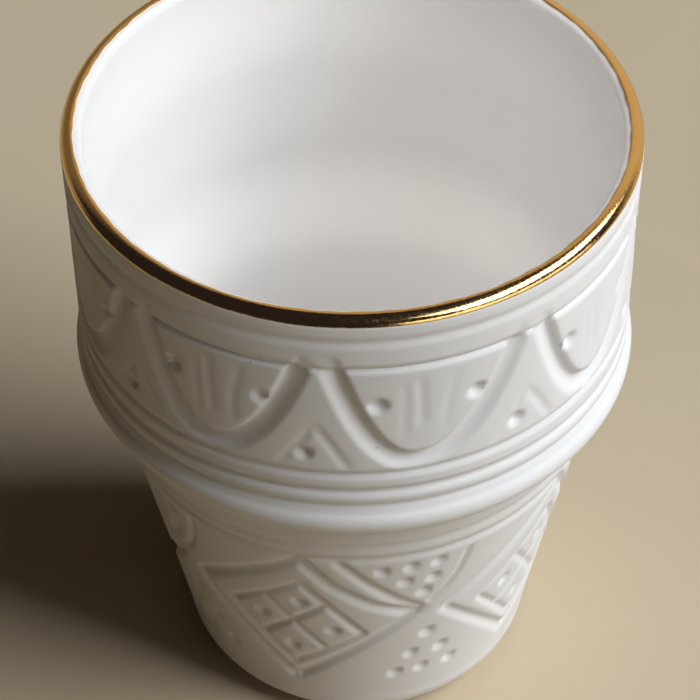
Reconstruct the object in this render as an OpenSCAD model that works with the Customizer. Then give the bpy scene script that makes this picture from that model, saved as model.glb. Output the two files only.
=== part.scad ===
// Handleless coffee cup: a thrown and turned clay body with a beaded collar,
// a gloss glaze poured inside and over the lip, and a gold lustre band on the lip.
// Millimetres, +Z up. The origin is the middle of the foot, on the table.

/* [Overall] */
// Height from the table to the top of the lip
cup_h = 100; // [88:1:120]
// Outside diameter at the lip
rim_d = 80; // [74:1:90]

/* [Lip and finishes] */
// Thickness of the rounded lip, with its glaze and gold
lip_t = 3.1; // [2.4:0.1:3.8]
// Thickness of the glaze inside the cup and over the lip
glaze_t = 0.35; // [0.2:0.05:0.6]
// Thickness of the gold lustre on the glaze
gold_t = 0.12; // [0.08:0.02:0.3]
// Angle at which the gold starts outside, above the middle of the lip's rounding
gold_outer_angle = 18; // [4:1:40]
// Angle at which the gold ends inside, past the top of the lip
gold_inner_angle = 103; // [95:1:150]

/* [Collar] */
// Height of the collar, from the underside of its bead to the top of the lip
collar_h = 41.4; // [34:0.2:50]
// How far the carved field is drawn in from the lip, where the collar is slimmest
waist_in = 0.1; // [0:0.1:3]
// How far the bead at the foot of the collar stands out from the field
bead_out = 0.8; // [0.3:0.1:3]
// Radius of the bead's rounding
bead_round = 3; // [2:0.1:4.5]
// Radius of the cove under the bead
cove_round = 0.6; // [0.4:0.1:4]
// Wall of the clay in the collar
collar_wall = 4.2; // [3:0.1:6]

/* [Lower body] */
// Outside diameter just above the foot's rounding
foot_d = 54.4; // [46:0.2:62]
// Radius of the rounded edge of the foot
foot_round = 7; // [3:0.5:10]
// How far the taper between neck and foot is drawn in
taper_hollow = 0.2; // [0:0.1:1.5]
// Wall of the clay in the lower body
low_wall = 4.6; // [3.4:0.1:6]
// Thickness of the clay floor
floor_t = 7; // [4:0.5:10]
// Radius of the rounding between the floor and the wall inside
floor_round = 10; // [4:0.5:12]

/* [Turned lines] */
// Width of a line turned into the clay
line_w = 2.2; // [1.2:0.1:3]
// Depth of the deepest turned line
line_depth = 0.55; // [0.2:0.05:0.9]

/* [Hidden] */
// Spacing of the points along a smooth wall
wall_step = 3;
// Points across a turned line, around a small rounding, and up the short edge below the gold
line_steps = 8;
round_steps = 12;
edge_steps = 3;
// Facets of a full turn in the preview
turn_facets = 96;

// Places of the collar's lines, as shares of its height down from the lip, and their depths
collar_line_shares = [0.10, 0.217, 0.683, 0.777, 0.85];
collar_depth_shares = [0.4, 0.9, 0.8, 1.0, 0.9];
// Places of the lower body's lines, as shares of its height up from the table, and their depths
low_line_shares = [0.80, 0.86];
low_depth_shares = [0.8, 0.6];
// Where the collar is slimmest, down from the lip
waist_share = 0.5;
// Stretch below the lip in which the inside narrows to the collar's wall
throat_share = 0.45;
// Where the inside eases from the collar's width to the lower body's, around the bead's underside
shoulder_low_share = 0.82;
shoulder_high_share = 1.12;

rim_r = rim_d / 2;
waist_r = rim_r - waist_in;
bead_r = waist_r + bead_out;
neck_r = bead_r - bead_round - cove_round;
foot_r = foot_d / 2;

// The lip is a rounding about this point; clay, glaze and gold lie on it one over the other
lip_mid = [rim_r - lip_t / 2, cup_h - lip_t / 2];
gold_round = lip_t / 2;
glaze_round = gold_round - gold_t;
clay_round = glaze_round - glaze_t;

// Underside of the collar, and the cove that joins it to the neck
underside_z = cup_h - collar_h;
bead_mid = [bead_r - bead_round, underside_z + bead_round];
neck_z = underside_z - cove_round;
bead_top_angle = acos((waist_r - bead_mid[0]) / bead_round);
bead_top_z = bead_mid[1] + bead_round * sin(bead_top_angle);
waist_z = cup_h - waist_share * collar_h;
collar_lines = [for (s = collar_line_shares) cup_h - s * collar_h];
low_lines = [for (s = low_line_shares) s * underside_z];

// Inside: the shoulder lies behind the bead's underside, the throat below the lip
shoulder_low_z = underside_z * shoulder_low_share;
shoulder_high_z = underside_z * shoulder_high_share;
throat_z = cup_h - throat_share * collar_h;
floor_edge_z = floor_t + floor_round;

function ease(t) = (1 - cos(180 * min(1, max(0, t)))) / 2;
function mix(a, b, t) = a + (b - a) * t;
function round_points(mid, r, from, to, count = round_steps) = [
    for (i = [0:count])
        let (a = mix(from, to, i / count))
            mid + r * [cos(a), sin(a)]
];
function steps(low, high) = ceil((high - low) / wall_step);
function sorted(list) =
    len(list) == 0 ? [] :
    let (middle = list[floor(len(list) / 2)])
        concat(sorted([for (x = list) if (x < middle) x]), [middle],
               sorted([for (x = list) if (x > middle) x]));

// Heights along a wall between two ends, closer together where a line is turned
function wall_heights(low, high, lines) =
    let (n = steps(low, high))
    sorted([
        for (z = concat(
            [for (i = [1:n - 1]) mix(low, high, i / n)],
            [for (at = lines, i = [0:line_steps]) at + line_w * (i / line_steps - 1 / 2)]
        )) if (z > low && z < high) z
    ]);

// Depth of one turned line at height z
function line_cut(z, at, depth) =
    abs(z - at) < line_w / 2 ? depth * (1 + cos(360 * (z - at) / line_w)) / 2 : 0;
function lines_cut(z, lines, depth_shares, i = 0) =
    i == len(lines) ? 0 :
    line_cut(z, lines[i], line_depth * depth_shares[i]) + lines_cut(z, lines, depth_shares, i + 1);

// Outside radius of the collar and of the lower body, before the lines are turned
function collar_r(z) = mix(waist_r, rim_r, pow(max(0, (z - waist_z) / (lip_mid[1] - waist_z)), 2));
function low_r(z) =
    let (t = (z - foot_round) / (neck_z - foot_round))
        mix(foot_r, neck_r, t) - 4 * taper_hollow * t * (1 - t);

// Radius of the clay inside, at height z
function throat_r(z) =
    mix(waist_r - collar_wall, lip_mid[0] - clay_round, ease((z - throat_z) / (lip_mid[1] - throat_z)));
function inner_r(z) =
    mix(mix(foot_r, neck_r, (z - foot_round) / (neck_z - foot_round)) - low_wall, throat_r(z),
        ease((z - shoulder_low_z) / (shoulder_high_z - shoulder_low_z)));

// Outside of the clay, from the middle of the foot to the edge of the gold
function clay_outside() =
    concat(
        [[0, 0]],
        round_points([foot_r - foot_round, foot_round], foot_round, -90, 0),
        [for (z = wall_heights(foot_round, neck_z, low_lines))
            [low_r(z) - lines_cut(z, low_lines, low_depth_shares), z]],
        round_points([neck_r + cove_round, neck_z], cove_round, 180, 90),
        [for (p = round_points(bead_mid, bead_round, -90, bead_top_angle)) if (p[0] > bead_mid[0]) p],
        [for (z = wall_heights(bead_top_z, lip_mid[1], collar_lines))
            [collar_r(z) - lines_cut(z, collar_lines, collar_depth_shares), z]],
        round_points(lip_mid, gold_round, 0, gold_outer_angle, edge_steps)
    );

// The inside, from the gold's outer edge over the lip and down to the middle of the floor,
// for a coat of the given thickness on the clay
function inside(coat) =
    let (n = steps(floor_edge_z, lip_mid[1]), edge_r = inner_r(floor_edge_z))
    concat(
        round_points(lip_mid, clay_round + coat, gold_outer_angle, 180),
        [for (i = [1:n - 1])
            let (z = mix(lip_mid[1], floor_edge_z, i / n))
                [inner_r(z) - coat, z]],
        round_points([edge_r - floor_round, floor_edge_z], floor_round - coat, 0, -90),
        [[0, floor_t + coat]]
    );

function reversed(points) = [for (i = [len(points) - 1:-1:0]) points[i]];

// A profile of radius and height, turned about the cup's axis
module turned(profile) {
    rotate_extrude($fn = turn_facets)
        polygon(profile);
}

// The clay, thrown in one piece with its foot, collar and bead
module clay_body() {
    color("whitesmoke")
        turned(concat(clay_outside(), inside(0)));
}

// The glaze poured inside, carried over the lip as far as the gold's outer edge
module glaze_liner() {
    color("white")
        turned(concat(inside(glaze_t), reversed(inside(0))));
}

// The gold lustre brushed over the lip
module gold_rim() {
    color("goldenrod")
        turned(concat(
            round_points(lip_mid, gold_round, gold_outer_angle, gold_inner_angle),
            round_points(lip_mid, glaze_round, gold_inner_angle, gold_outer_angle)
        ));
}

clay_body();
glaze_liner();
gold_rim();
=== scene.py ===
"""Handleless coffee cup: carved satin-white clay, a gloss glaze inside and a gold lustre lip."""
import math

import bpy
import numpy as np
from mathutils import Matrix, Vector


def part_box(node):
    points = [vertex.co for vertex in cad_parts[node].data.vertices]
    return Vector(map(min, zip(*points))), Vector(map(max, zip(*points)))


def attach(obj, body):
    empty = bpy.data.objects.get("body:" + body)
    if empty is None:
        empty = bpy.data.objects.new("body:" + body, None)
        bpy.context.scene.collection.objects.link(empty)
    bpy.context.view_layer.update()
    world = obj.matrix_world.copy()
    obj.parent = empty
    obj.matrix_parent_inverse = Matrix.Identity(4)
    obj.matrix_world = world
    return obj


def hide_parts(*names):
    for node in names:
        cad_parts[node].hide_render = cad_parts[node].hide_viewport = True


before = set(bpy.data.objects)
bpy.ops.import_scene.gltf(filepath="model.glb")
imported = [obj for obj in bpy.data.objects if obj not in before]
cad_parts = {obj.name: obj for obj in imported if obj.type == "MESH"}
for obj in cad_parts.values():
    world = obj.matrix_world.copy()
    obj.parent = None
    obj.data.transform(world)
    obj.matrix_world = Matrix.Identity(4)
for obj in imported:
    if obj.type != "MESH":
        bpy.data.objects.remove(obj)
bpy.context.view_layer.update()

MM = 0.001

# Sizes of the cup in millimetres. The lip comes from the frame, the rest repeats the part's source
gold_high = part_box("gold_rim")[1]
rim_r = gold_high.x / MM
cup_h = gold_high.z / MM
lip_t = 3.1
glaze_t = 0.35
gold_t = 0.12
gold_outer_angle = 18
gold_inner_angle = 103
collar_h = 41.4
waist_in = 0.1
bead_out = 0.8
bead_round = 3.0
cove_round = 0.6
collar_wall = 4.2
foot_r = 27.2
foot_round = 7
taper_hollow = 0.2
low_wall = 4.6
floor_t = 7
floor_round = 10
waist_share = 0.5
throat_share = 0.45
shoulder_low_share = 0.82
shoulder_high_share = 1.12

waist_r = rim_r - waist_in
bead_r = waist_r + bead_out
neck_r = bead_r - bead_round - cove_round
lip_r = rim_r - lip_t / 2
lip_z = cup_h - lip_t / 2
gold_round = lip_t / 2
glaze_round = gold_round - gold_t
clay_round = glaze_round - glaze_t
underside_z = cup_h - collar_h
bead_mid_r = bead_r - bead_round
bead_mid_z = underside_z + bead_round
neck_z = underside_z - cove_round
bead_top_angle = math.degrees(math.acos((waist_r - bead_mid_r) / bead_round))
bead_top_z = bead_mid_z + bead_round * math.sin(math.radians(bead_top_angle))
waist_z = cup_h - waist_share * collar_h
shoulder_low_z = underside_z * shoulder_low_share
shoulder_high_z = underside_z * shoulder_high_share
throat_z = cup_h - throat_share * collar_h
floor_edge_z = floor_t + floor_round

# How far the lip has leant from the foot's middle in the throwing
lip_lean = 0.9


def ease(t):
    """A soft step from 0 to 1."""
    return (1 - np.cos(np.pi * np.clip(t, 0, 1))) / 2


def between(a, b, t):
    return a + (b - a) * t


def collar_r(z):
    return between(waist_r, rim_r, np.clip((z - waist_z) / (lip_z - waist_z), 0, None) ** 2)


def taper(z):
    return (z - foot_round) / (neck_z - foot_round)


def low_r(z):
    t = taper(z)
    return between(foot_r, neck_r, t) - 4 * taper_hollow * t * (1 - t)


def throat_r(z):
    return between(waist_r - collar_wall, lip_r - clay_round, ease((z - throat_z) / (lip_z - throat_z)))


def inner_r(z):
    low = between(foot_r, neck_r, taper(z)) - low_wall
    return between(low, throat_r(z), ease((z - shoulder_low_z) / (shoulder_high_z - shoulder_low_z)))


def rounding(mid_r, mid_z, radius, start, end, count):
    """Points of radius and height along a rounding, from one angle to another."""
    turn = np.radians(np.linspace(start, end, count + 1))
    return [(mid_r + radius * math.cos(a), mid_z + radius * math.sin(a)) for a in turn]


def wall(low, high, spacing):
    """Heights along a wall, without its two ends."""
    count = max(2, math.ceil(abs(high - low) / spacing))
    return np.linspace(low, high, count + 1)[1:-1]


# Shaping on the wheel

# Points nearer than this, in millimetres, are the same point of the seam or the pole
seam_gap = 0.005


def draw_outline(name, outline):
    """A line of vertices drawn point by point through radius and height, in edit mode."""
    bpy.ops.object.select_all(action="DESELECT")
    bpy.ops.mesh.primitive_plane_add(size=MM)
    piece = bpy.context.object
    piece.name = name
    piece.data.name = name
    bpy.ops.object.mode_set(mode="EDIT")
    bpy.ops.mesh.select_all(action="SELECT")
    bpy.ops.mesh.merge(type="CENTER")
    start_r, start_z = outline[0]
    bpy.ops.transform.translate(value=(start_r * MM, 0, start_z * MM))
    for (r0, z0), (r1, z1) in zip(outline, outline[1:]):
        step = ((r1 - r0) * MM, 0, (z1 - z0) * MM)
        bpy.ops.mesh.extrude_vertices_move(TRANSFORM_OT_translate={"value": step})
    return piece


def turn_piece(name, outline, turn_steps):
    """The outline turned round the cup's axis to a closed piece, its seam and poles merged."""
    piece = draw_outline(name, outline)
    bpy.ops.object.mode_set(mode="OBJECT")
    bpy.ops.object.modifier_add(type="SCREW")
    lathe = piece.modifiers[-1]
    lathe.axis = "Z"
    lathe.angle = math.tau
    lathe.steps = turn_steps
    lathe.render_steps = turn_steps
    bpy.ops.object.modifier_apply(modifier=lathe.name)
    bpy.ops.object.mode_set(mode="EDIT")
    bpy.ops.mesh.select_all(action="SELECT")
    bpy.ops.mesh.remove_doubles(threshold=seam_gap * MM)
    bpy.ops.mesh.normals_make_consistent(inside=False)
    bpy.ops.object.mode_set(mode="OBJECT")
    return piece


def points_of(piece):
    """The piece's vertices in millimetres: an array, and their angle from the front, height and radius."""
    spots = np.empty(len(piece.data.vertices) * 3)
    piece.data.vertices.foreach_get("co", spots)
    spots = spots.reshape(-1, 3) / MM
    angle = np.degrees(np.arctan2(spots[:, 0], -spots[:, 1]))
    radius = np.hypot(spots[:, 0], spots[:, 1])
    return spots, angle, spots[:, 2], radius


def move_points(piece, spots):
    piece.data.vertices.foreach_set("co", (spots * MM).ravel())
    piece.data.update()


def set_radius(spots, angle, radius):
    turn = np.radians(angle)
    spots[:, 0] = radius * np.sin(turn)
    spots[:, 1] = -radius * np.cos(turn)


def lean_over(piece):
    """The small lean of a cup thrown by hand: its lip stands a little to the left of its foot."""
    spots, angle, height, radius = points_of(piece)
    spots[:, 0] -= lip_lean * height / cup_h
    move_points(piece, spots)


def keep_on_vertices(piece, name, values):
    """Stores one number per vertex for the piece's material to read."""
    layer = piece.data.attributes.new(name, "FLOAT", "POINT")
    layer.data.foreach_set("value", values.astype(np.float32))


# The carver's cuts

# The slips of the hand are always the same ones
hand = np.random.default_rng(41)
# About how many millimetres round the cup one degree is, for the length of a cut
mm_per_degree = 0.6
# Fullness of a gouge's hollow and of a pressed dot, and the share of its lead that a gouge skips at each end
gouge_fullness = 1.15
dot_fullness = 0.8
gouge_end_share = 0.35
# A dot is a path of this length, in millimetres, and is wider or narrower by up to this slip
dot_path = 0.01
dot_slip = 0.15
# A turned line wanders once round the cup, and again in this many waves of this share
small_waves = 3
small_wave_share = 0.4


class Cuts:
    """Depth of the carving, in millimetres, at points given by angle, height and radius."""

    def __init__(self, angle, height, radius):
        self.angle = angle
        self.height = height
        self.radius = radius
        self.depth = np.zeros(len(angle))

    def near(self, path, reach):
        """Points within reach of a path, and their distance, side and place along it."""
        path = np.asarray(path, float)
        mid = (path[:, 0].min() + path[:, 0].max()) / 2
        off = (self.angle - mid + 180) % 360 - 180
        span = (path[:, 0].max() - path[:, 0].min()) / 2 + math.degrees(reach / foot_r)
        tall = (self.height > path[:, 1].min() - reach) & (self.height < path[:, 1].max() + reach)
        spot = np.nonzero(tall & (np.abs(off) < span))[0]
        arc = np.radians(1) * self.radius[spot]
        best = np.full(len(spot), np.inf)
        side = np.zeros(len(spot))
        along = np.zeros(len(spot))
        lengths = np.hypot(np.diff(path[:, 0]) * mm_per_degree, np.diff(path[:, 1]))
        starts = np.concatenate([[0], np.cumsum(lengths)])
        for i in range(len(path) - 1):
            seg_u = (path[i + 1, 0] - path[i, 0]) * arc
            seg_v = path[i + 1, 1] - path[i, 1]
            rel_u = (off[spot] + mid - path[i, 0]) * arc
            rel_v = self.height[spot] - path[i, 1]
            t = np.clip((rel_u * seg_u + rel_v * seg_v) / (seg_u ** 2 + seg_v ** 2), 0, 1)
            gap = np.hypot(rel_u - t * seg_u, rel_v - t * seg_v)
            nearer = gap < best
            best = np.where(nearer, gap, best)
            side = np.where(nearer, np.sign(seg_u * rel_v - seg_v * rel_u), side)
            along = np.where(nearer, starts[i] + t * lengths[i], along)
        return spot, best, side, along, starts[-1]

    def gouge(self, path, deep, left, right, lead=0.8):
        """A cut along a path, left and right wide on its two sides, running out over its lead at the ends.

        The narrow side falls as a steep wall, and the wide side rises as a hollow to a clear edge.
        """
        spot, gap, side, along, length = self.near(path, max(left, right))
        width = np.where(side > 0, left, right)
        share = gap / width
        hollow = np.clip(1 - share ** 2, 0, 1) ** gouge_fullness
        section = np.where(width == max(left, right), hollow, ease(1 - share))
        ends = ease(np.minimum(along, length - along) / lead + gouge_end_share)
        self.depth[spot] = np.maximum(self.depth[spot], deep * section * ends)

    def dimple(self, at, deep, across):
        """A round hollow pressed with the end of a stick."""
        spot, gap, side, along, length = self.near([at, (at[0], at[1] + dot_path)], across / 2)
        bowl = np.clip(1 - (2 * gap / across) ** 2, 0, 1) ** dot_fullness
        self.depth[spot] = np.maximum(self.depth[spot], deep * bowl)

    def ring(self, at, deep, width, wander, phase, share=1.0):
        """A line turned round the cup, which wanders a little in height."""
        turn = np.radians(self.angle)
        small_wander = small_wave_share * np.sin(small_waves * turn + 2 * phase)
        middle = at + wander * (np.sin(turn + phase) + small_wander)
        line = ease(1 - np.abs(self.height - middle) / (width / 2))
        self.depth = np.maximum(self.depth, deep * share * line)


def shaky(value, amount):
    """A value as the hand gives it, off by up to an amount."""
    return value + hand.uniform(-amount, amount)


def press_dots(cuts, mid, dots, deep, across, slip, slip_up):
    """Dots at places from a middle angle, each a little off and a little wider or narrower."""
    for a, z in dots:
        cuts.dimple((mid + shaky(a, slip), shaky(z, slip_up)), deep, shaky(across, dot_slip))


# Places on the cup are angles in degrees from the front towards the right, and heights in millimetres.
# Points between the swags, and the swags' heights, ends and sag
spandrels = [-46.5, -7.0, 36.0, 75.8, 115.5, 155.0, 194.5, 234.0, 273.8, 313.5]
swag_top = 91.4
swag_bottom = 74.5
swag_inset = 4.1
swag_sag = 2.15
swag_off_middle = 2.2
swag_depth = 1.05
swag_points = 33
# Dots in a swag, from its lowest point
swag_dots = [(-7.6, 84.6), (11.7, 84.4)]
# Combed strokes: angle from the swag's lowest point, bend at the top, heights of the ends, depth and lead
comb_strokes = [
    (-2.4, 0.0, 88.0, 78.5, 0.08, 2.5),
    (0.5, -0.3, 88.2, 79.6, 0.13, 1.0),
    (5.0, 2.4, 88.8, 79.0, 0.09, 2.5),
]
# The tent under each point between swags: its top, and the two points of each leg with its depth
tent_top = (-0.5, 80.8)
tent_legs = [
    ((-3.5, 77), (-8.0, 72.4), 0.16),
    ((2.6, 77), (6.2, 72.3), 0.2),
]
tent_dot = (-2.4, 75.3)
# The small nick above each point between swags
nick = (3.8, 92.2)


def carve_swags(cuts):
    """Swags hung between the two groups of turned lines, with pressed dots and combed middles."""
    for left, right in zip(spandrels, spandrels[1:]):
        start = left + swag_inset
        end = right - swag_inset
        low = (start + end) / 2 - shaky(swag_off_middle, 0.3)
        bottom = shaky(swag_bottom, 0.25)
        path = []
        for t in np.linspace(-1, 1, swag_points):
            half = low - start if t < 0 else end - low
            path.append((low + half * t, bottom + (swag_top - bottom) * abs(t) ** swag_sag))
        cuts.gouge(path, shaky(swag_depth, 0.05), left=0.95, right=2.6, lead=0.4)
        press_dots(cuts, low, swag_dots, deep=0.75, across=2.7, slip=0.5, slip_up=0.3)
        for tooth, bend, top, foot, deep, lead in comb_strokes:
            at = shaky(low + tooth, 0.5)
            start_at = (at + bend, shaky(top, 0.8))
            middle_at = (shaky(at + bend / 3, 0.3), (top + foot) / 2)
            end_at = (shaky(at, 0.4), shaky(foot, 0.8))
            stroke = [start_at, middle_at, end_at]
            cuts.gouge(stroke, shaky(deep, 0.02), left=1.2, right=0.9, lead=lead)
    for at in spandrels[1:]:
        press_dots(cuts, at, [tent_dot], deep=0.7, across=2.6, slip=0.4, slip_up=0.2)
        apex = (at + tent_top[0], shaky(tent_top[1], 0.4))
        for knee, foot, deep in tent_legs:
            leg = [apex, (at + knee[0], knee[1]), (at + foot[0], foot[1])]
            cuts.gouge(leg, deep, left=0.9, right=0.9, lead=4)
        cuts.dimple((at + nick[0], shaky(nick[1], 0.2)), deep=0.3, across=1.3)


diamond_repeats = 5
diamond_first = -15.5
# Places in and beside a diamond, with angles from its middle. The cell is the smaller diamond inside it
cell_top = (2.0, 40.4)
cell_right = (18.7, 26.3)
cell_bottom = (-3.0, 15.8)
cell_left = (-20.5, 29.0)
cell_bars = [
    ([(-11.5, 22.5), (8.6, 34.4)], 0.5, 1.2, 0.6),
    ([(-9.0, 34.6), (8.0, 21.2)], 0.38, 0.6, 1.0),
]
cell_dots = [(1.5, 34.4), (-11.0, 28.8), (10.0, 27.4), (-2.5, 21.2)]
# The dotted triangle above the point between two diamonds, with its two sides, and the dots below that point
triangle_sides = [
    ([(11.8, 47.4), (20.0, 40.8), (27.4, 35.8), (34.2, 32.2)], 0.55, 0.9, 1.5),
    ([(34.6, 33.6), (39.0, 36.6), (42.2, 40.6), (44.0, 46)], 0.35, 0.5, 1.0),
]
triangle_dots = [(22.0, 44.6), (29.2, 44.8), (36.7, 44.9), (28.6, 40.7), (35.8, 40.6), (33.4, 37.2)]
lower_dots = [(36.7, 24.4), (31.8, 18.8), (41.2, 18.5), (27.8, 13.6), (36.4, 13.8), (46.0, 13.8)]


def carve_diamonds(cuts):
    """Large diamonds divided in four, and dotted triangles between them, round the lower body."""
    for k in range(diamond_repeats):
        mid = diamond_first + k * 360 / diamond_repeats + shaky(0, 0.4)
        top = (2.6, shaky(47.4, 0.2))
        right = (33.3, shaky(31.2, 0.3))
        bottom = (-2.3, shaky(11.2, 0.3))
        left = (-32.0, shaky(30.6, 0.3))
        diamond_sides = [
            ([top, (10.8, 40.3), (20.5, 35.3), right], 0.6, 0.9, 1.9),
            ([left, top], 0.58, 0.9, 1.9),
            ([bottom, right], 0.6, 1.9, 0.9),
            ([left, bottom], 0.5, 0.8, 1.7),
        ]
        cell_sides = [
            ([cell_top, cell_right], 0.5, 0.6, 1.3),
            ([cell_left, cell_top], 0.4, 0.6, 1.1),
            ([cell_bottom, cell_right], 0.4, 1.1, 0.6),
            ([cell_left, cell_bottom], 0.42, 0.6, 1.1),
        ]
        for path, deep, left_width, right_width in diamond_sides + cell_sides + cell_bars + triangle_sides:
            cuts.gouge([(mid + a, z) for a, z in path], deep, left_width, right_width)
        press_dots(cuts, mid, cell_dots, deep=0.55, across=2.4, slip=0.5, slip_up=0.3)
        press_dots(cuts, mid, triangle_dots, deep=0.58, across=2.5, slip=0.5, slip_up=0.25)
        press_dots(cuts, mid, lower_dots, deep=0.55, across=2.5, slip=0.6, slip_up=0.25)


# Lines turned round the cup: height, depth, width, wander in height, and the wander's phase
turned_lines = [
    (95.9, 0.24, 2.4, 0.15, 0.6),
    (71.6, 0.46, 1.9, 0.3, -0.93),
    (67.9, 0.58, 2.2, 0.1, 4.0),
    (64.9, 0.45, 2.0, 0.08, 2.7),
    (51.4, 0.26, 2.6, 0.15, 0.3),
    (48.2, 0.42, 2.2, 0.12, 3.3),
]
# The line that the swags hang from is a little shallower within some degrees of the points between them
hanging_line = (91.1, 0.5, 1.4, 0.12, 2.0)
spandrel_depth_share = 0.8
spandrel_reach = 2.5
spandrel_fade = 3.0
# One stray dent, low on the bead
dent = (12.3, 59.4)


def carving(angle, height, radius):
    """Depth of every cut in the outside of the clay."""
    cuts = Cuts(angle, height, radius)
    depth_share = np.ones(len(angle))
    for at in spandrels[1:]:
        off = np.abs((angle - at + 180) % 360 - 180)
        share = between(spandrel_depth_share, 1, ease((off - spandrel_reach) / spandrel_fade))
        depth_share = np.minimum(depth_share, share)
    for line in turned_lines:
        cuts.ring(*line)
    cuts.ring(*hanging_line, share=depth_share)
    carve_swags(cuts)
    carve_diamonds(cuts)
    cuts.dimple(dent, deep=0.35, across=1.7)
    return cuts.depth


# The three pieces

# Spacing of the mesh's points up the outside, in millimetres, where the clay is carved
low_spacing = 0.62
collar_spacing = 0.46
# Spacing up the inside: of the clay, which the glaze hides, and of the glaze's two faces
clay_inside_spacing = 5
glaze_spacing = 1.2
glaze_back_spacing = 3
# Steps of a full turn, and the share by which the clay's are closer at the front than at the back
clay_turn_steps = 440
glaze_turn_steps = 300
gold_turn_steps = 720
front_share = 0.22
# Points of the flat base and of the glazed floor, between the middle and the edge
base_points = [10, 17]
floor_point = 7
# The carving starts at this height, and leaves the inside of the wall alone by this much
carved_from = 5
uncarved_wall = 1.5
# Edges that bend by more than these degrees stay sharp
clay_sharp_angle = 60
coat_sharp_angle = 50


def clay_outline():
    """The thrown outline, with closer points where it is carved."""
    outline = [(0, 0)] + [(r, 0) for r in base_points]
    outline += rounding(foot_r - foot_round, foot_round, foot_round, -90, 0, count=12)
    outline += [(float(low_r(z)), z) for z in wall(foot_round, neck_z, low_spacing)]
    outline += rounding(neck_r + cove_round, neck_z, cove_round, 180, 90, count=4)
    outline += rounding(bead_mid_r, bead_mid_z, bead_round, -90, bead_top_angle, count=14)[1:]
    outline += [(float(collar_r(z)), z) for z in wall(bead_top_z, lip_z, collar_spacing)]
    outline += rounding(lip_r, lip_z, gold_round, 0, gold_outer_angle, count=2)
    outline += rounding(lip_r, lip_z, clay_round, gold_outer_angle, 180, count=6)
    outline += [(float(inner_r(z)), z) for z in wall(lip_z, floor_edge_z, clay_inside_spacing)]
    edge_r = float(inner_r(floor_edge_z))
    outline += rounding(edge_r - floor_round, floor_edge_z, floor_round, 0, -90, count=6)
    outline += [(0, floor_t)]
    return outline


def make_clay_body():
    """The thrown body: its outline turned, then the cuts taken out of its outside."""
    piece = turn_piece("carved_clay_body", clay_outline(), clay_turn_steps)
    spots, angle, height, radius = points_of(piece)
    angle -= np.degrees(front_share * np.sin(np.radians(angle)))
    outside = (height > carved_from) & (height < lip_z)
    outside &= radius > inner_r(np.maximum(height, floor_edge_z)) + uncarved_wall
    depth = np.zeros(len(angle))
    depth[outside] = carving(angle[outside], height[outside], radius[outside])
    set_radius(spots, angle, radius - depth)
    move_points(piece, spots)
    bpy.ops.object.shade_smooth_by_angle(angle=math.radians(clay_sharp_angle))
    return piece


def inside_outline(coat, spacing):
    """From the gold's outer edge over the lip to the middle of the floor, for a coat on the clay."""
    outline = rounding(lip_r, lip_z, clay_round + coat, gold_outer_angle, 180, count=14)
    outline += [(float(inner_r(z)) - coat, z) for z in wall(lip_z, floor_edge_z, spacing)]
    edge_r = float(inner_r(floor_edge_z))
    outline += rounding(edge_r - floor_round, floor_edge_z, floor_round - coat, 0, -90, count=14)
    outline += [(floor_point, floor_t + coat), (0, floor_t + coat)]
    return outline


def make_glaze_liner():
    """The glaze as a closed skin on the clay's inside and over the lip."""
    outline = inside_outline(glaze_t, glaze_spacing) + inside_outline(0, glaze_back_spacing)[::-1]
    piece = turn_piece("poured_glaze_liner", outline + outline[:1], glaze_turn_steps)
    bpy.ops.object.shade_smooth_by_angle(angle=math.radians(coat_sharp_angle))
    return piece


# The gold stands this much proud, in millimetres, laps this many degrees over its outer edge, and has
# this many steps across. Its edges wander: size in degrees across the lip, waves round the lip, and phase
gold_proud = 0.02
gold_lap = 1.6
gold_steps = 26
outer_waves = [(-0.9, 5, 1), (-0.7, 13, 4)]
inner_waves = [(2.2, 7, 2), (1.6, 23, 0), (1.4, 61, 0)]


def wander(turn, waves):
    """How far a painted edge is off, at each angle round the lip."""
    return sum(size * np.sin(count * turn + phase) for size, count, phase in waves)


def make_gold_rim():
    """The gold as a thin closed band over the lip, its two edges painted by hand."""
    outline = rounding(lip_r, lip_z, gold_round + gold_proud, gold_outer_angle, gold_inner_angle, gold_steps)
    outline += rounding(lip_r, lip_z, glaze_round, gold_inner_angle, gold_outer_angle, gold_steps)
    piece = turn_piece("brushed_gold_rim", outline + outline[:1], gold_turn_steps)
    spots, angle, height, radius = points_of(piece)
    thick = np.hypot(height - lip_z, radius - lip_r)
    across = np.degrees(np.arctan2(height - lip_z, radius - lip_r))
    turn = np.radians(angle)
    outer_edge = gold_outer_angle - gold_lap + wander(turn, outer_waves)
    inner_edge = gold_inner_angle + wander(turn, inner_waves)
    share = (across - gold_outer_angle) / (gold_inner_angle - gold_outer_angle)
    across = np.radians(between(outer_edge, inner_edge, share))
    set_radius(spots, angle, lip_r + thick * np.cos(across))
    spots[:, 2] = lip_z + thick * np.sin(across)
    move_points(piece, spots)
    keep_on_vertices(piece, "across_band", across * gold_round)
    bpy.ops.object.shade_smooth_by_angle(angle=math.radians(coat_sharp_angle))
    return piece


# Finishes


def linear(hex_colour):
    """An sRGB hex colour as linear red, green, blue and alpha."""
    parts = [int(hex_colour[i:i + 2], 16) / 255 for i in (1, 3, 5)]
    parts = [p / 12.92 if p <= 0.04045 else ((p + 0.055) / 1.055) ** 2.4 for p in parts]
    return (*parts, 1.0)


def add_node(tree, kind, inputs=None, **settings):
    """A node with its settings, and each input either a value or another node's output."""
    node = tree.nodes.new(kind)
    for name, value in settings.items():
        setattr(node, name, value)
    for socket, value in (inputs or {}).items():
        if isinstance(value, bpy.types.NodeSocket):
            tree.links.new(value, node.inputs[socket])
        else:
            node.inputs[socket].default_value = value
    return node


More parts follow.
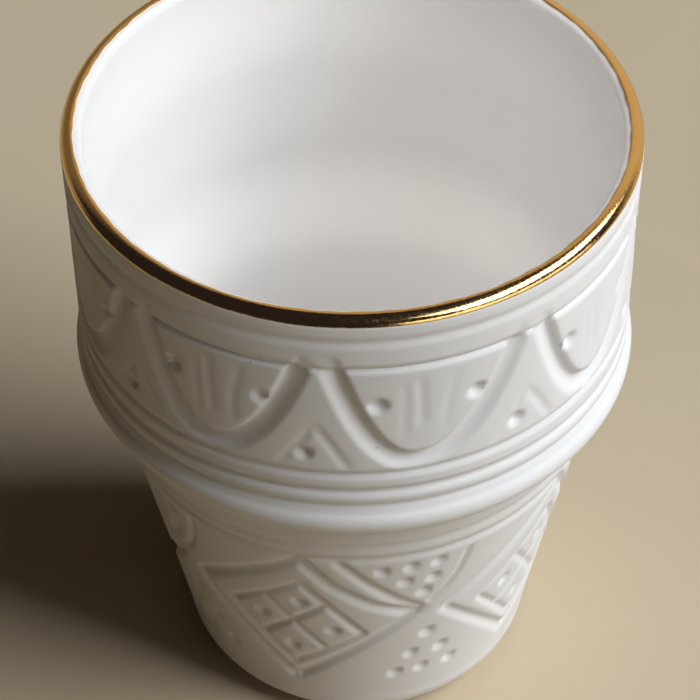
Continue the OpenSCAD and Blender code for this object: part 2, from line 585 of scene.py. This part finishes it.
def reckon(tree, operation, first, second):
    """The result of a sum on two values."""
    return add_node(tree, "ShaderNodeMath", {0: first, 1: second}, operation=operation).outputs[0]


def blend(tree, share, first, second):
    """A colour between two. The node's colours are its inputs 6 and 7, and its output 2."""
    return add_node(tree, "ShaderNodeMix", {0: share, 6: first, 7: second}, data_type="RGBA").outputs[2]


def spread(tree, value, start, end, low, high, kind="LINEAR"):
    """A value's way from one level to another, between a start and an end."""
    return add_node(
        tree, "ShaderNodeMapRange",
        {"Value": value, "From Min": start, "From Max": end, "To Min": low, "To Max": high},
        interpolation_type=kind,
    ).outputs[0]


def seen_rays(tree):
    """1 for what the camera sees, straight, in a shiny surface or through a clear one, and else 0."""
    ray = add_node(tree, "ShaderNodeLightPath")
    seen = reckon(tree, "MAXIMUM", ray.outputs["Is Camera Ray"], ray.outputs["Is Glossy Ray"])
    return reckon(tree, "MAXIMUM", seen, ray.outputs["Is Transmission Ray"])


def new_finish(name):
    finish = bpy.data.materials.new(name)
    finish.use_nodes = True
    finish.node_tree.nodes.clear()
    return finish, finish.node_tree


def per_mm(size):
    """Texture scale for a feature of this many millimetres, on coordinates in metres."""
    return 1 / (size * MM)


def satin_white_clay():
    """White clay fired satin matt: chalky and even, with a few pinholes whose shade is painted dark into the
    colour.
    """
    finish, tree = new_finish("satin_fired_white_clay")
    place = add_node(tree, "ShaderNodeTexCoord").outputs["Object"]
    cloud = add_node(tree, "ShaderNodeTexNoise", {"Vector": place, "Scale": per_mm(18), "Detail": 3.0})
    grain = add_node(tree, "ShaderNodeTexNoise", {"Vector": place, "Scale": per_mm(0.35), "Detail": 2.0})
    pits = add_node(tree, "ShaderNodeTexVoronoi", {"Vector": place, "Scale": per_mm(6)})
    # Pinhole depth for the bump, which also sets where shade is painted into the pinholes
    pinhole_depth_and_shade = spread(tree, pits.outputs["Distance"], start=0.012, end=0.03, low=0.8, high=0.0)
    shade = blend(tree, cloud.outputs["Fac"], linear("#EBECED"), linear("#F0F1F2"))
    # Painted shade: the pinholes' insides are coloured dark grey-brown for the shade inside them
    painted_pit_shade = blend(tree, pinhole_depth_and_shade, shade, linear("#8E8376"))
    rough = spread(tree, cloud.outputs["Fac"], start=0.0, end=1.0, low=0.5, high=0.6)
    fine = add_node(
        tree, "ShaderNodeBump",
        {"Height": grain.outputs["Fac"], "Strength": 0.12, "Distance": 0.05 * MM},
    )
    sunk = add_node(
        tree, "ShaderNodeBump",
        {"Height": pinhole_depth_and_shade, "Strength": 0.6, "Distance": 0.15 * MM, "Normal": fine.outputs[0]},
        invert=True,
    )
    shader = add_node(
        tree, "ShaderNodeBsdfPrincipled",
        {"Base Color": painted_pit_shade, "Roughness": rough, "Normal": sunk.outputs[0], "IOR": 1.5},
    )
    add_node(tree, "ShaderNodeOutputMaterial", {"Surface": shader.outputs[0]})
    return finish


def poured_gloss_glaze():
    """Clear glaze poured over white clay: bright and smooth, with slow ripples."""
    finish, tree = new_finish("poured_gloss_white_glaze")
    place = add_node(tree, "ShaderNodeTexCoord").outputs["Object"]
    pool = add_node(tree, "ShaderNodeTexNoise", {"Vector": place, "Scale": per_mm(26), "Detail": 2.0})
    ripple = add_node(tree, "ShaderNodeTexNoise", {"Vector": place, "Scale": per_mm(7), "Detail": 1.0})
    shade = blend(tree, pool.outputs["Fac"], linear("#EAE9E8"), linear("#EDECEB"))
    rough = spread(tree, pool.outputs["Fac"], start=0.0, end=1.0, low=0.2, high=0.3)
    wavy = add_node(
        tree, "ShaderNodeBump",
        {"Height": ripple.outputs["Fac"], "Strength": 0.25, "Distance": 0.12 * MM},
    )
    shader = add_node(
        tree, "ShaderNodeBsdfPrincipled",
        {"Base Color": shade, "Roughness": rough, "Normal": wavy.outputs[0], "IOR": 1.5},
    )
    add_node(tree, "ShaderNodeOutputMaterial", {"Surface": shader.outputs[0]})
    return finish


# Length and width in millimetres of a brush streak in the gold
streak_length = 9
streak_width = 0.28


def brushed_gold_lustre():
    """Gold lustre painted on glaze and fired: bright metal, brush streaks along the lip and fine specks."""
    finish, tree = new_finish("brushed_fired_gold_lustre")
    place = add_node(tree, "ShaderNodeTexCoord").outputs["Object"]
    across = add_node(tree, "ShaderNodeAttribute", attribute_name="across_band").outputs["Fac"]
    flat = add_node(tree, "ShaderNodeSeparateXYZ", {"Vector": place})
    along = add_node(tree, "ShaderNodeCombineXYZ", {"X": flat.outputs["X"], "Y": flat.outputs["Y"]})
    stretched = add_node(
        tree, "ShaderNodeVectorMath",
        {0: along.outputs[0], "Scale": per_mm(streak_length)}, operation="SCALE",
    )
    sideways = reckon(tree, "MULTIPLY", across, 1 / streak_width)
    lane = add_node(tree, "ShaderNodeCombineXYZ", {"Z": sideways})
    brush_place = add_node(
        tree, "ShaderNodeVectorMath", {0: stretched.outputs[0], 1: lane.outputs[0]}, operation="ADD",
    )
    streak = add_node(
        tree, "ShaderNodeTexNoise", {"Vector": brush_place.outputs[0], "Scale": 1.0, "Detail": 3.0},
    )
    speck = add_node(tree, "ShaderNodeTexNoise", {"Vector": place, "Scale": per_mm(0.45), "Detail": 2.0})
    tone = blend(tree, streak.outputs["Fac"], linear("#EDBF78"), linear("#F6CF8A"))
    rough = spread(tree, speck.outputs["Fac"], start=0.3, end=0.7, low=0.09, high=0.2)
    brushed = add_node(
        tree, "ShaderNodeBump",
        {"Height": streak.outputs["Fac"], "Strength": 0.55, "Distance": 0.03 * MM},
    )
    specked = add_node(
        tree, "ShaderNodeBump",
        {"Height": speck.outputs["Fac"], "Strength": 0.55, "Distance": 0.03 * MM,
         "Normal": brushed.outputs[0]},
    )
    shader = add_node(
        tree, "ShaderNodeBsdfPrincipled",
        {"Base Color": tone, "Metallic": 1.0, "Roughness": rough, "Normal": specked.outputs[0]},
    )
    add_node(tree, "ShaderNodeOutputMaterial", {"Surface": shader.outputs[0]})
    return finish


def pale_table():
    """Painted board, pale warm beige and matt, which throws back less light than it shows the camera."""
    finish, tree = new_finish("matt_painted_table")
    place = add_node(tree, "ShaderNodeTexCoord").outputs["Object"]
    cloud = add_node(tree, "ShaderNodeTexNoise", {"Vector": place, "Scale": per_mm(60), "Detail": 3.0})
    shade = blend(tree, cloud.outputs["Fac"], linear("#CFBD9E"), linear("#D5C4A7"))
    thrown_back = linear("#98805A")
    colour = blend(tree, seen_rays(tree), thrown_back, shade)
    shader = add_node(tree, "ShaderNodeBsdfPrincipled", {"Base Color": colour, "Roughness": 0.7})
    add_node(tree, "ShaderNodeOutputMaterial", {"Surface": shader.outputs[0]})
    return finish


def finish_piece(piece, finish, node):
    """Leans the piece with the cup, gives it its finish and lets it stand for its node."""
    lean_over(piece)
    piece.data.materials.clear()
    piece.data.materials.append(finish)
    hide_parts(node)
    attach(piece, "root")


finish_piece(make_clay_body(), satin_white_clay(), "clay_body")
finish_piece(make_glaze_liner(), poured_gloss_glaze(), "glaze_liner")
finish_piece(make_gold_rim(), brushed_gold_lustre(), "gold_rim")


# Table, light and camera

table_size = 1.2
bpy.ops.object.select_all(action="DESELECT")
bpy.ops.mesh.primitive_plane_add(size=table_size, location=(0, 0, 0))
table = bpy.context.object
table.name = "table_top"
table.data.materials.append(pale_table())


def hang_lamp(lamp, place, aim):
    """Puts a lamp in the scene, turned to face a place."""
    light = bpy.data.objects.new(lamp.name, lamp)
    bpy.context.scene.collection.objects.link(light)
    light.location = place
    light.rotation_mode = "QUATERNION"
    light.rotation_quaternion = (aim - place).to_track_quat("-Z", "Y")
    return light


def add_window(name, place, aim_height, width, tall, watts, colour):
    """A soft rectangular light, turned to face a height on the cup's axis."""
    lamp = bpy.data.lights.new(name, "AREA")
    lamp.shape = "RECTANGLE"
    lamp.size = width
    lamp.size_y = tall
    lamp.energy = watts
    lamp.color = linear(colour)[:3]
    return hang_lamp(lamp, place, Vector((0, 0, aim_height)))


def from_cup(side_angle, rise_angle, distance):
    """A place round the cup, by its angle from the front towards the right and its rise above the table."""
    side = math.radians(side_angle)
    rise = math.radians(rise_angle)
    flat = distance * math.cos(rise)
    return Vector((flat * math.sin(side), -flat * math.cos(side), distance * math.sin(rise)))


# One window lights the clay, with a lit wall to the front of it. A strip stands for the window in the gold
window = add_window(
    "right_window", from_cup(78, 45.5, 4.8), aim_height=0.06,
    width=3.6, tall=2.8, watts=268.0, colour="#F5FAFF",
)
window.visible_glossy = False
add_window(
    "front_right_wall", from_cup(54, 8, 4.0), aim_height=0.06,
    width=6.0, tall=1.1, watts=37.0, colour="#FFFAF2",
)
strip = add_window(
    "window_strip", from_cup(78, 49, 2.0), aim_height=0.1,
    width=2.4, tall=0.8, watts=48.0, colour="#F2F8FF",
)
strip.visible_diffuse = False

# A narrow beam through the mouth fills the shaded inside of the bowl
mouth = Vector((0, 0, cup_h * MM))
beam_distance = 1.0
beam_radius = 36 * MM
bowl_lamp = bpy.data.lights.new("bowl_fill", "SPOT")
bowl_lamp.energy = 14.0
bowl_lamp.color = linear("#FFF4E9")[:3]
bowl_lamp.spot_size = 2 * math.atan(beam_radius / beam_distance)
bowl_lamp.spot_blend = 0.9
bowl_lamp.shadow_soft_size = 10 * MM
bowl_fill = hang_lamp(bowl_lamp, mouth + from_cup(-32, 60, beam_distance), mouth)
bowl_fill.visible_glossy = False

# Soft light from above and the right, as much as comes in by the mouth
sky_place = mouth + Vector((10, 4, 1)) * MM
sky_lamp = bpy.data.lights.new("mouth_sky", "AREA")
sky_lamp.shape = "DISK"
sky_lamp.size = 76 * MM
sky_lamp.energy = 0.0051
sky_lamp.color = linear("#FFF6EC")[:3]
mouth_sky = hang_lamp(sky_lamp, sky_place, sky_place - Vector((0, 0, 1)))
mouth_sky.visible_camera = False
mouth_sky.visible_glossy = False


def soft_step(value, start, end, low, high):
    """A value's way from one level to another in the room, with soft ends."""
    return spread(room, value, start, end, low, high, kind="SMOOTHSTEP")


# The room is dim. The camera sees a pale backdrop, and shiny surfaces see a lit wall behind the cup,
# brighter towards the window, the low backdrop behind the table, and elsewhere a faint blue dusk
world = bpy.data.worlds.new("dim_room")
world.use_nodes = True
room = world.node_tree
room.nodes.clear()
toward = add_node(room, "ShaderNodeTexCoord").outputs["Generated"]
way = add_node(room, "ShaderNodeSeparateXYZ", {"Vector": toward})
behind = soft_step(way.outputs["Y"], start=0.35, end=0.65, low=0.0, high=1.0)
wall_height = soft_step(way.outputs["Z"], start=0.66, end=0.85, low=1.0, high=0.0)
wall_side = soft_step(way.outputs["X"], start=-0.3, end=0.15, low=0.25, high=1.0)
wall_lit = reckon(room, "MULTIPLY", reckon(room, "MULTIPLY", behind, wall_height), wall_side)
low_behind = soft_step(way.outputs["Y"], start=0.2, end=0.45, low=0.0, high=0.45)
low_height = soft_step(way.outputs["Z"], start=0.1, end=0.3, low=1.0, high=0.0)
low_lit = reckon(room, "MULTIPLY", low_behind, low_height)
room_level = reckon(room, "MAXIMUM", wall_lit, low_lit)
camera_ray = add_node(room, "ShaderNodeLightPath").outputs["Is Camera Ray"]
backdrop_level = reckon(room, "MAXIMUM", room_level, camera_ray)
dim = add_node(room, "ShaderNodeBackground", {"Color": linear("#E2C193"), "Strength": 0.01})
backdrop = add_node(room, "ShaderNodeBackground", {"Color": linear("#CDBB9C"), "Strength": backdrop_level})
dusk = add_node(room, "ShaderNodeBackground", {"Color": linear("#C8C0F0"), "Strength": 0.032})
shown = add_node(room, "ShaderNodeAddShader", {0: backdrop.outputs[0], 1: dusk.outputs[0]})
both = add_node(
    room, "ShaderNodeMixShader", {0: seen_rays(room), 1: dim.outputs[0], 2: shown.outputs[0]},
)
add_node(room, "ShaderNodeOutputWorld", {"Surface": both.outputs[0]})
bpy.context.scene.world = world
bpy.context.scene.view_settings.view_transform = "Standard"

# The camera looks down on the lip from the front, from where the photograph was taken
image_pixels = 700
focal_pixels = 2600
eye_distance = 357.14 * MM
eye_height_angle = math.radians(40.0)
aim_height = 98.6 * MM
pitch = math.radians(44.927)
yaw = math.radians(-0.054)

camera_data = bpy.data.cameras.new("photo_camera")
camera_data.sensor_width = 36.0
camera_data.lens = focal_pixels / image_pixels * camera_data.sensor_width
camera_data.clip_start = 0.01
camera = bpy.data.objects.new("photo_camera", camera_data)
bpy.context.scene.collection.objects.link(camera)
forward = Vector((math.sin(yaw) * math.cos(pitch), math.cos(yaw) * math.cos(pitch), -math.sin(pitch)))
right = forward.cross(Vector((0, 0, 1))).normalized()
up = right.cross(forward)
turned = Matrix((right, up, -forward)).transposed()
eye = Vector((
    -lip_lean * MM,
    -eye_distance * math.cos(eye_height_angle),
    aim_height + eye_distance * math.sin(eye_height_angle),
))
camera.matrix_world = Matrix.Translation(eye) @ turned.to_4x4()
bpy.context.scene.camera = camera
